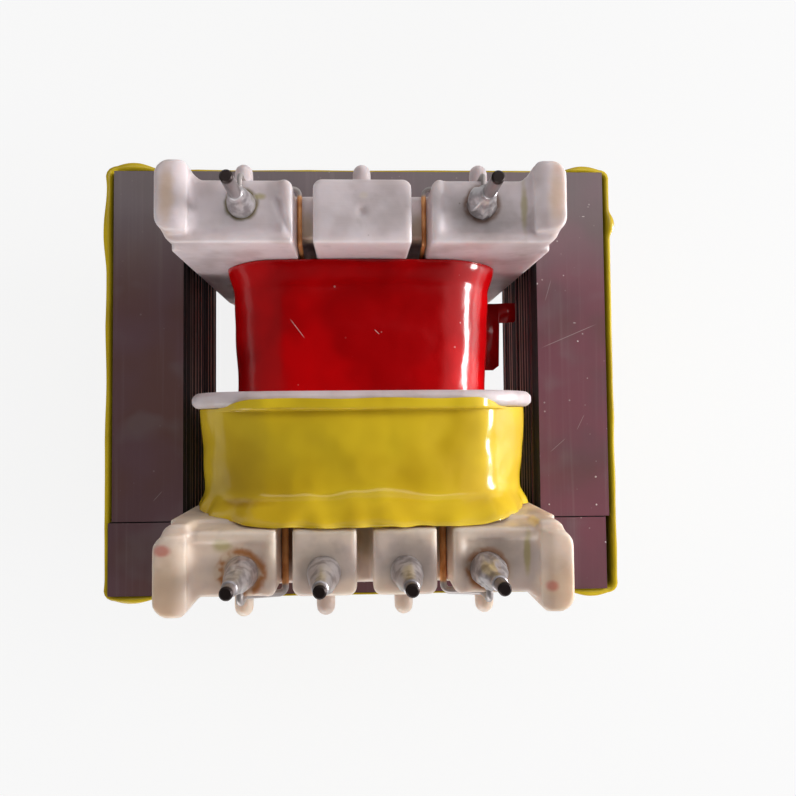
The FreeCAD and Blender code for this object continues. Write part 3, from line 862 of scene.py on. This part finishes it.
@dataclass
class TapedCoil:
    """One coil's tape: a skin wound round the wire, its edges curling at the flanges.

    Attributes:
        node: the CAD tape that it stands for.
        name: the new piece's name.
        finish: the tape's finish.
        slot: the record's material slot; not used.
        seed: shifts this coil's unevenness.
        corner: radius of the coil's corners.
        profile: pairs of a share of the length, from the low end, and how far the tape stands
            out there from the CAD tape's widest place.
        wide: how much further the sides stand out.
        crown: how far the front's middle stands out past its sides.
        wander: how far the tape's surface wanders in or out.
        lip: how much further the low edge flares in front.
        fold: how high the long fold at the front's right end stands.
        edge_wander: how far its low edge wanders.
        lap: how far its high edge lies over the flange's front rim, or 0.
        climb: how high it climbs to get there.
        around: points round the coil.
        along: rings along it.
        thickness: of the tape's turns that can be seen at its edges.
    """

    node: str
    name: str
    finish: Finish
    slot: str
    seed: float
    corner: float
    profile: tuple[tuple[float, float], ...]
    wide: float
    crown: float
    wander: float
    lip: float = 0.0
    fold: float = 0.0
    edge_wander: float = 0.0
    lap: float = 0.0
    climb: float = 0.0
    around: int = 360
    along: int = 90
    thickness: float = 0.25

    def growth(self, share: float) -> float:
        """Reads the profile at a share of the coil's length.

        Args:
            share: the place, from 0 at the low end to 1 at the high end.

        Returns:
            How far the tape stands out there.
        """
        for (start, low), (end, high) in zip(self.profile, self.profile[1:]):
            if share <= end:
                return low + (high - low) * ease(share, start, end)
        return self.profile[-1][1]

    def row(self, share: float, inset: float) -> list[Vector]:
        """Makes one ring of the tape.

        Args:
            share: the ring's place along the coil, from 0 to 1.
            inset: how far inside the tape's outer surface it lies.

        Returns:
            The ring's points, in millimetres.
        """
        low, high = box_mm(self.node)
        grow = self.growth(share)
        half_x, half_z = -low.x + grow + self.wide, (high.z - low.z) / 2 + grow
        middle = (high.z + low.z) / 2
        points = []
        for step, (place, out) in enumerate(walk_round(half_x, half_z, self.corner, self.around)):
            run = 2 * math.pi * step / self.around
            loop = Vector((math.cos(run), math.sin(run))) * half_x * 1.2
            y = low.y + (high.y - low.y) * share
            front = ease(out.y, 0.3, 0.9)
            stand = self.crown * front * (0.5 - 0.8 * (place.x / half_x) ** 2)
            stand += self.wander * noise.noise(Vector((*loop / 3.5, y / 2.5 + self.seed * 9)))
            stand += 0.15 * self.wander * noise.noise(Vector((*loop / 1.2, y / 1.3 + self.seed * 5)))
            stand += self.fold * front * math.exp(-((place.x - half_x * 0.68) / 0.9) ** 2) \
                * (1 + 0.3 * noise.noise(Vector((y / 0.9, self.seed, 0))))
            edge = ease(share, 0.34 + 0.12 * ripple(loop.x / 2.2, loop.y / 2.2, self.seed), 0.0) ** 3
            near = ease(abs(place.x - 0.4), half_x * 0.92, half_x * 0.45)
            middle_lip = self.lip * front * (0.3 + 0.7 * near)
            stand += edge * (middle_lip + self.edge_wander * noise.noise(Vector((*loop / 1.6, self.seed))))
            y += edge * 0.4 * self.edge_wander * (noise.noise(Vector((*loop / 1.7, self.seed + 8))) + 0.4)
            y = max(y, low.y + 0.02) - edge * 0.2 * middle_lip
            turn = max(share - 0.975, 0.0) / 0.025
            flat = front * ease(abs(place.x), half_x * 0.85, half_x * 0.6)
            rise = self.climb * flat * ease(turn, 0.0, 0.35)
            y += flat * self.lap * max(turn - 0.35, 0.0) / 0.65 * (1 + 0.06 * math.sin(place.x * 0.9))
            reach = place + out * (stand - inset)
            points.append(Vector((reach.x, y, middle + reach.y + rise)))
        return points

    def build(self) -> bpy.types.Object:
        """Winds the tape and puts it in place of the CAD one.

        Returns:
            The new piece.
        """
        shares = [0.5 - 0.5 * math.cos(math.pi * step / (self.along - 1)) for step in range(self.along)]
        rows = [self.row(share, 0.0) for share in shares]
        rows += [self.row(share, self.thickness) for share in reversed(shares)]
        return put_on(lay_skin(self.name, rows, self.finish.material(), looped=True), self.node)


@dataclass
class TapeEnd:
    """The loose end of the red tape, standing off the right side of the coil."""

    finish: Finish
    thickness: float = 0.16

    def build(self) -> bpy.types.Object:
        """Makes the loose end beside the coil.

        Returns:
            The new piece.
        """
        high = box_mm("primary_tape")[1]
        top, z = high.y - 1.95, CORE_FACE - 4.0
        rows = []
        for x, drop in ((high.x, 1.5), (high.x - 0.1, 1.7), (high.x - 0.75, 1.75), (high.x - 1.4, 1.75),
                        (high.x - 1.5, 5.6), (high.x - 2.0, 6.0), (high.x - 3.9, 6.0)):
            curl = z + 0.15 * math.sin(2 * x)
            over = curl + self.thickness
            corners = ((top, curl), (top - drop, curl), (top - drop, over), (top, over))
            rows.append([Vector((x, y, height)) for y, height in corners])
        for end in (0, -1):
            middle = sum(rows[end], Vector()) / 4
            rows.insert(0 if end == 0 else len(rows), [middle] * 4)
        return put_on(lay_skin("red_tape_end", rows, self.finish.material()))


@dataclass
class CoreBand:
    """The yellow tape round the four sides of the core, its upper edge flaring off the sheets.

    Attributes:
        finish: the tape's finish.
        thickness: of the tape's turns.
        clearance: between the tape and the widest sheet.
        corner: radius at the core's corners.
        flare: how far the upper edge stands off.
        bulges: where the tape stands off further: X, Y, how long the bulge is and how far it stands off.
    """

    finish: Finish
    thickness: float = 0.22
    clearance: float = 0.03
    corner: float = 0.4
    flare: float = 0.15
    bulges: tuple[tuple[float, float, float, float], ...] = (
        (-19.0, 18.0, 2.0, 0.6), (19.0, 18.0, 1.6, 0.4), (-19.0, -18.0, 2.0, 0.45),
        (19.0, -18.0, 1.8, 0.45), (-21.2, 12.5, 3.0, 0.25), (21.2, 13.2, 0.7, 0.4))
    steps: int = 900
    levels: int = 14

    def build(self) -> bpy.types.Object:
        """Wraps the band and puts it in place of the CAD one.

        Returns:
            The new piece.
        """
        low, high = box_mm("core_band")
        sheets = [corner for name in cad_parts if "_sheets_" in name for corner in box_mm(name)]
        half_x, half_y = (max(abs(corner[axis]) for corner in sheets) + self.clearance for axis in (0, 1))
        path = walk_round(half_x, half_y, self.corner, self.steps)
        rows = []
        levels = [level / (self.levels - 1) for level in range(self.levels)]
        for inner in (False, True):
            for share in reversed(levels) if inner else levels:
                row = []
                for step, (place, out) in enumerate(path):
                    run = step * 0.16
                    slack = 0.8 + 0.5 * ripple(run / 5.0, share, 3.0)
                    loose = ease(share, 0.6, 1.0) + ease(share, 0.3, 0.0) * 0.5
                    stand = self.flare * loose * slack * abs(out.x)
                    for x, y, length, out_by in self.bulges:
                        away = (place - Vector((x, y))).length
                        stand += out_by * ease(away, length + 0.6, 0.3) * ease(share, 0.4, 0.95)
                    end = ease(share, 0.5, 1.0) - ease(share, 0.5, 0.0)
                    drop = abs(0.25 * ripple(run / 6.0, 9.0, 5.0) * end)
                    z = low.z + (high.z - low.z) * share - drop * (1 if share > 0.5 else -1)
                    stand = stand * 0.25 if inner else stand + self.thickness
                    row.append((place + out * stand).to_3d() + Vector((0, 0, z - 0.15 * inner)))
                rows.append(row)
        skin = lay_skin("core_tape_band", rows, self.finish.material(), looped=True)
        return put_on(skin, "core_band")


@dataclass
class SolderJoint:
    """Solder frozen round one pin, from the block's face up the pin.

    Attributes:
        pin: the pin's name.
        seed: shifts its unevenness.
        foot: radius at the block.
        top: radius where it ends on the pin.
        climb: how far up the pin it goes, as a share of the pin's free length.
        belly: 0 where it sweeps in like a fillet, 1 where it bulges like a drop.
        lump: how far its surface wanders.
        lean: where its thicker side points, in degrees from +X towards +Y.
        around: points round the pin.
        levels: rings up it.
    """

    pin: str
    seed: float
    foot: float
    top: float = 0.52
    climb: float = 0.85
    belly: float = 0.7
    lump: float = 0.12
    lean: float = 20.0
    around: int = 48
    levels: int = 30

    def build(self, finish: bpy.types.Material) -> bpy.types.Object:
        """Runs the solder up the pin and puts it in place of the CAD fillet.

        Args:
            finish: the solder's material.

        Returns:
            The new piece.
        """
        seat = box_mm(self.pin + "_solder")[0]
        low, high = box_mm(self.pin + "_pin")
        centre = (low + high) / 2
        height = (high.z - seat.z) * self.climb
        rows = []
        for level in range(self.levels):
            share = level / (self.levels - 1)
            radius = self.top + (self.foot - self.top) * ((1 - share) ** 2.2 * (1 - self.belly)
                                                          + (1 - share ** 1.8) * self.belly)
            row = []
            for step in range(self.around):
                angle = 2 * math.pi * step / self.around
                side = 0.5 + 0.5 * math.cos(angle - math.radians(self.lean))
                uneven = ripple(angle * 1.2 + 4 * math.cos(angle), share * 3, self.seed)
                swell = math.sin(math.pi * min(share * 1.15, 1.0)) ** 0.7
                bulge = self.lump * (uneven + 0.9 * side) * swell
                reach = radius + bulge
                row.append(Vector((centre.x + reach * math.cos(angle), centre.y + reach * math.sin(angle),
                                   seat.z - 0.03 + height * share)))
            rows.append(row)
        crown = Vector((centre.x, centre.y, rows[-1][0].z + 0.02))
        base = Vector((centre.x, centre.y, rows[0][0].z))
        rows = [[base] * self.around] + rows + [[crown] * self.around]
        return put_on(lay_skin(self.pin + "_solder_joint", rows, finish), self.pin + "_solder")


@dataclass
class Camera:
    """The photograph's camera, from a solution of the core's corners, the coils and the pins.

    Attributes:
        place: where it stands, in millimetres; its height is counted from the core's face.
        turn: its turn about X, Y and Z, in degrees; with none it looks straight down.
        lens: focal length for a sensor 36 mm wide.
        shift: how far the picture's middle is off the lens's axis, in picture widths.
    """

    place: tuple[float, float, float] = (-0.522, -3.109, 54.87)
    turn: tuple[float, float, float] = (2.242, -1.833, -0.487)
    lens: float = 29.9
    shift: tuple[float, float] = (0.0257, -0.0087)
    nearest: float = 5.0

    def build(self) -> bpy.types.Object:
        """Sets up the camera and makes it the scene's.

        Returns:
            The camera.
        """
        data = bpy.data.cameras.new("camera")
        data.lens = self.lens
        data.shift_x, data.shift_y = self.shift
        data.clip_start = self.nearest * MM
        camera = bpy.data.objects.new("camera", data)
        camera.location = Vector((self.place[0], self.place[1], self.place[2] + CORE_FACE)) * MM
        camera.rotation_euler = [math.radians(angle) for angle in self.turn]
        bpy.context.scene.collection.objects.link(camera)
        bpy.context.scene.camera = camera
        return camera


@dataclass
class Lamp:
    """One soft lamp that points at the part.

    Attributes:
        name: what it does.
        azimuth: where it stands, in degrees from +X towards +Y.
        elevation: how high it stands, in degrees.
        distance: from the part, in millimetres.
        size: its width and height, in millimetres.
        light: how bright a white surface that faces it becomes, 1 being white.
    """

    name: str
    azimuth: float
    elevation: float
    distance: float
    size: tuple[float, float]
    light: float

    def build(self) -> bpy.types.Object:
        """Hangs the lamp.

        Returns:
            The lamp.
        """
        data = bpy.data.lights.new(self.name, "AREA")
        data.shape = "RECTANGLE"
        data.size, data.size_y = (side * MM for side in self.size)
        data.energy = self.light * (math.pi * self.distance * MM) ** 2
        lamp = bpy.data.objects.new(self.name, data)
        turn, rise = math.radians(self.azimuth), math.radians(self.elevation)
        away = Vector((math.cos(turn) * math.cos(rise), math.sin(turn) * math.cos(rise), math.sin(rise)))
        lamp.location = away * self.distance * MM + Vector((0, 0, CORE_FACE * MM))
        lamp.rotation_euler = away.to_track_quat("Z", "Y").to_euler()
        bpy.context.scene.collection.objects.link(lamp)
        return lamp


@dataclass
class Studio:
    """The white table, the pale room and the lamps.

    Attributes:
        table_side: the table's side, in millimetres.
        glow: the share of the table's look that is plain white to the camera, the rest taking shadow.
        dim: how bright the room's dark side is.
        light: how bright its window side is.
        window_side: the way to its window side.
        overhead: how much of that light the ceiling right overhead gives, where the camera blocks it.
        lamps: the lamps.
    """

    table_side: float = 3000.0
    glow: float = 0.85
    dim: float = 0.13
    light: float = 1.0
    window_side: tuple[float, float, float] = (0.95, 0.25, -0.6)
    overhead: float = 0.1
    lamps: tuple[Lamp, ...] = (Lamp("window", 2, 12, distance=320, size=(150, 52), light=1.0),
                               Lamp("high pane", 86, 57, distance=420, size=(560, 150), light=0.26),
                               Lamp("pale wall", -112, 10, distance=420, size=(500, 140), light=0.7))

    def seen(self, tree: bpy.types.NodeTree) -> Socket:
        """Adds the test of whether the camera looks.

        Args:
            tree: the node tree of the world or the table.

        Returns:
            1 for a camera or transmission ray.
        """
        rays = add_node(tree, "LightPath").outputs
        return add_node(tree, "Math", {0: rays["Is Camera Ray"], 1: rays["Is Transmission Ray"]},
                        operation="MAXIMUM").outputs[0]

    def build_table(self) -> bpy.types.Object:
        """Lays the table under the part.

        Returns:
            None, as mark_backdrop gives nothing back; the table is marked and left in the scene.
        """
        half = self.table_side / 2
        rows = [[Vector((x, y, -0.02)) for x in (-half, half)] for y in (-half, half)]
        material = TableBoard("White lacquer, sprayed", 0.6).material()
        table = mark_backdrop(lay_skin("table", rows, material, ring=False))
        tree = material.node_tree
        output = next(node for node in tree.nodes if node.type == "OUTPUT_MATERIAL")
        board = output.inputs[0].links[0].from_socket
        share = add_node(tree, "Math", {0: self.seen(tree), 1: self.glow}, operation="MULTIPLY").outputs[0]
        white = add_node(tree, "Emission", {"Color": (1, 1, 1, 1), "Strength": 1.0}).outputs[0]
        mixed = add_node(tree, "MixShader", {0: share, 1: board, 2: white}).outputs[0]
        tree.links.new(mixed, output.inputs[0])
        return table

    def build_room(self) -> bpy.types.World:
        """Makes the room, white to the camera and to everything else brighter on its window side.

        Returns:
            The scene's world.
        """
        world = bpy.data.worlds.new("room")
        world.use_nodes = True
        tree = world.node_tree
        tree.nodes.clear()
        way = add_node(tree, "TexCoord").outputs["Generated"]
        towards = add_node(tree, "VectorMath", {0: way, 1: self.window_side}, operation="DOT_PRODUCT")
        level = add_node(tree, "MapRange", {
            "Value": towards.outputs["Value"], "From Min": -0.6, "From Max": 0.8,
            "To Min": self.dim, "To Max": self.light}).outputs[0]
        up = add_node(tree, "SeparateXYZ", {0: way}).outputs[2]
        blocked = add_node(tree, "MapRange", {
            "Value": up, "From Min": 0.84, "From Max": 0.96,
            "To Min": 1.0, "To Max": self.overhead}).outputs[0]
        level = add_node(tree, "Math", {0: level, 1: blocked}, operation="MULTIPLY").outputs[0]
        share = self.seen(tree)
        room = add_node(tree, "Background", {"Color": linear("#f4f2f4"), "Strength": level}).outputs[0]
        white = add_node(tree, "Background", {"Color": (1, 1, 1, 1), "Strength": 1.0}).outputs[0]
        mixed = add_node(tree, "MixShader", {0: share, 1: room, 2: white}).outputs[0]
        add_node(tree, "OutputWorld", {0: mixed})
        bpy.context.scene.world = world
        return world

    def build(self) -> None:
        """Builds the table, the room and the lamps."""
        self.build_table()
        self.build_room()
        for lamp in self.lamps:
            lamp.build()


def main() -> None:
    """Builds the whole scene, piece by piece."""
    logging.basicConfig(level=logging.INFO, format="%(name)s: %(message)s")
    bpy.context.scene.view_settings.view_transform = "Standard"
    Camera().build()
    Studio().build()
    log.info("camera, table and lamps are up")
    log.info("core: %d bundles of sheets", Core().build())
    # The red tape's dark band under the middle of its top edge is painted shade under its curl.
    red = PolyesterTape("Polyester tape, red, wound", 0.16, dust_share=0.5,
                        crease_shade=(("#5c0004", (0.8, 9.0, CORE_FACE + 4.5), (3.4, 0.45, 1.2)),),
                        nicks=(((-5.6, 4.5), (-4.4, 2.9)), ((0.9, 3.6), (1.3, 3.2))))
    # The yellow tape's dark bands are painted shade: along the fold where it dips under its lap, and near
    # its low edge on the left.
    yellow = PolyesterTape("Polyester tape, yellow, wound", 0.16, bright="#ecca2c", deep="#dab524",
                           dust="#f3ecc0", dust_share=0.04, wave=0.012,
                           crease_shade=(("#8f5210", (-5.6, -2.45, CORE_FACE + 7), (3.0, 0.16, 1.2)),
                                    ("#a87a12", (2.0, -2.5, CORE_FACE + 7), (7.0, 0.14, 1.2)),
                                    ("#a87a12", (-8.0, -9.3, CORE_FACE + 6), (3.0, 0.5, 2.0))))
    coils = (TapedCoil("primary_tape", "red_tape_wrap", red, "red_tape", seed=1.0, corner=4.6,
                       profile=((0.0, -0.3), (0.5, -0.1), (0.8, 0.0), (1.0, 0.45)), wide=0.1,
                       crown=0.9, wander=0.07),
             TapedCoil("secondary_tape", "yellow_tape_wrap", yellow, "yellow_tape", seed=2.0, corner=6.2,
                       profile=((0.0, -0.25), (0.2, -0.55), (0.6, -0.38), (1.0, -0.2)), wide=0.42,
                       crown=1.7, wander=0.15, lip=2.3, fold=0.1, edge_wander=0.45, lap=0.66, climb=0.75))
    for coil in coils:
        log.info("coil: %s", coil.build().name)
    log.info("loose end: %s", TapeEnd(red).build().name)
    folded = PolyesterTape("Polyester tape, yellow, folded", 0.25, bright="#e3c424", deep="#d2b21c",
                           dust="#f3ecc0", dust_share=0.05)
    log.info("band: %s", CoreBand(folded).build().name)
    log.info("bobbin: %d faces", len(Bobbin().build().data.polygons))
    solder = TinLeadSolder("Tin and lead solder, frozen", 0.32).material()
    for joint in (SolderJoint("primary_left", 1, foot=1.0, top=0.5, climb=0.45, belly=0.6, lump=0.12,
                              lean=-30),
                  SolderJoint("primary_right", 2, foot=1.05, top=0.5, climb=0.5, belly=0.3, lump=0.3,
                              lean=200),
                  SolderJoint("secondary_left", 3, foot=1.15, climb=0.8, belly=0.4, lump=0.15, lean=20),
                  SolderJoint("secondary_inner_left", 4, foot=1.15, top=0.5),
                  SolderJoint("secondary_inner_right", 5, foot=1.1, top=0.5, lean=60),
                  SolderJoint("secondary_right", 6, foot=1.2, climb=0.75, belly=0.3, lump=0.35, lean=120)):
        joint.build(solder)
    dress([pin + "_pin" for pin in PINS], TinnedWire("Steel wire, tinned", 0.4).material())
    dress(["primary_winding", "secondary_winding"] + [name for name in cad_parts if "_lead_" in name],
          EnamelledCopper("Copper wire, enamelled", 0.35).material())
    log.info("pins, solder and leads are dressed")


if __name__ == "__main__":
    main()
